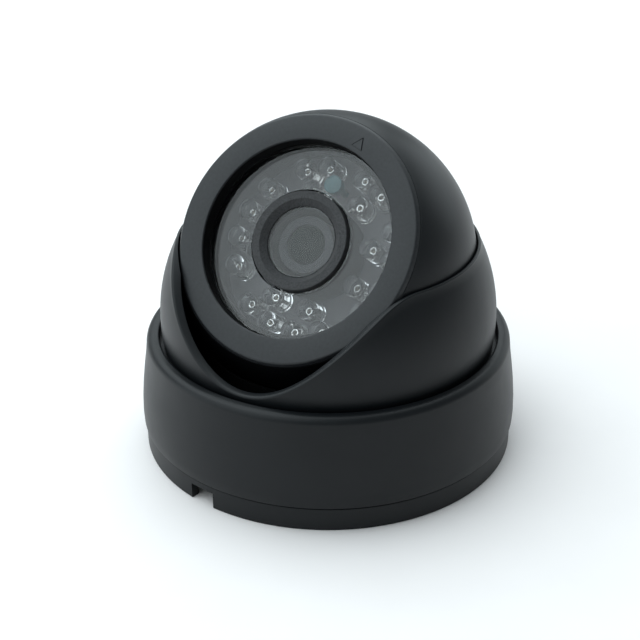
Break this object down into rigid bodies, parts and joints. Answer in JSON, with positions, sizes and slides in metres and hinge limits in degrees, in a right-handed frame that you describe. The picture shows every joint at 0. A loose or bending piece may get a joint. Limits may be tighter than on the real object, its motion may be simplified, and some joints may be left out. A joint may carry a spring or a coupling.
{
  "type": "dome camera",
  "caption": "Compact plastic eyeball dome camera: ball with lamp ring and flat bezel, held by a slotted swivel collar in a round cover ring on a base plate with a side cable notch.",
  "frame": {"origin": "centre of the base plate's mounting face", "axes": "+Z away from the mounting surface, the lens looks towards -Y and upwards, +X is the camera's own left-to-right when seen from the front"},
  "size_m": [0.0952, 0.0952, 0.084],
  "materials": {
    "black_plastic": "satin, fine even grain",
    "ball_plastic": "satin, fine even grain",
    "bezel_plastic": "fine grain, matt",
    "seat_plastic": "moulded, dull",
    "rubber": "granular, matt",
    "glass": "clear",
    "circuit_board": "coated board",
    "led_resin": "clear resin",
    "photocell_face": "coated ceramic",
    "sensor_face": "glassy",
    "lens_metal": "black anodised",
    "lens_ring": "satin grey",
    "lens_glass": "coated",
    "brass": "bright",
    "steel": "bright"
  },
  "bodies": {
    "base": {"base_plate": "black_plastic", "ball_seat": "seat_plastic"},
    "cover": {"cover_ring": "black_plastic"},
    "collar": {"swivel_collar": "black_plastic"},
    "ball": {"rear_shell": "ball_plastic", "front_bezel": "bezel_plastic", "bezel_seal": "rubber", "front_window": "glass", "lens_sleeve": "rubber", "lens_cover": "glass", "led_board": "circuit_board", "led_01": "led_resin", "led_02": "led_resin", "led_03": "led_resin", "led_04": "led_resin", "led_05": "led_resin", "led_06": "led_resin", "led_07": "led_resin", "led_08": "led_resin", "led_09": "led_resin", "led_10": "led_resin", "led_11": "led_resin", "led_12": "led_resin", "led_13": "led_resin", "led_14": "led_resin", "led_15": "led_resin", "led_16": "led_resin", "led_17": "led_resin", "led_18": "led_resin", "led_19": "led_resin", "led_20": "led_resin", "led_21": "led_resin", "led_22": "led_resin", "led_23": "led_resin", "led_24": "led_resin", "photocell": "photocell_face", "main_board": "circuit_board", "image_sensor": "sensor_face", "lens_holder": "lens_metal", "standoff_01": "brass", "standoff_02": "brass", "standoff_03": "brass", "standoff_04": "brass", "board_screw_01": "steel", "board_screw_02": "steel", "board_screw_03": "steel", "board_screw_04": "steel", "led_board_screw_01": "steel", "led_board_screw_02": "steel", "led_board_screw_03": "steel"},
    "lens": {"lens_barrel": "lens_metal", "lens_front_ring": "lens_ring", "lens_glass": "lens_glass"}
  },
  "joints": [
    {"name": "cover_twist", "type": "hinge", "parent": "base", "child": "cover", "pos_m": [0, 0, 0.0064], "axis": [0, 0, 1], "range_deg": [0, 20]},
    {"name": "collar_pan", "type": "hinge", "parent": "base", "child": "collar", "pos_m": [0, 0, 0.0104], "axis": [0, 0, 1], "range_deg": [-180, 180]},
    {"name": "ball_tilt", "type": "hinge", "parent": "collar", "child": "ball", "pos_m": [0, 0, 0.04747], "axis": [-1, 0, 0], "range_deg": [-21.8, 53.2]},
    {"name": "lens_focus", "type": "hinge", "parent": "ball", "child": "lens", "pos_m": [0, 0, 0.04747], "axis": [0, -0.8007, 0.599], "range_deg": [-180, 180]}
  ]
}
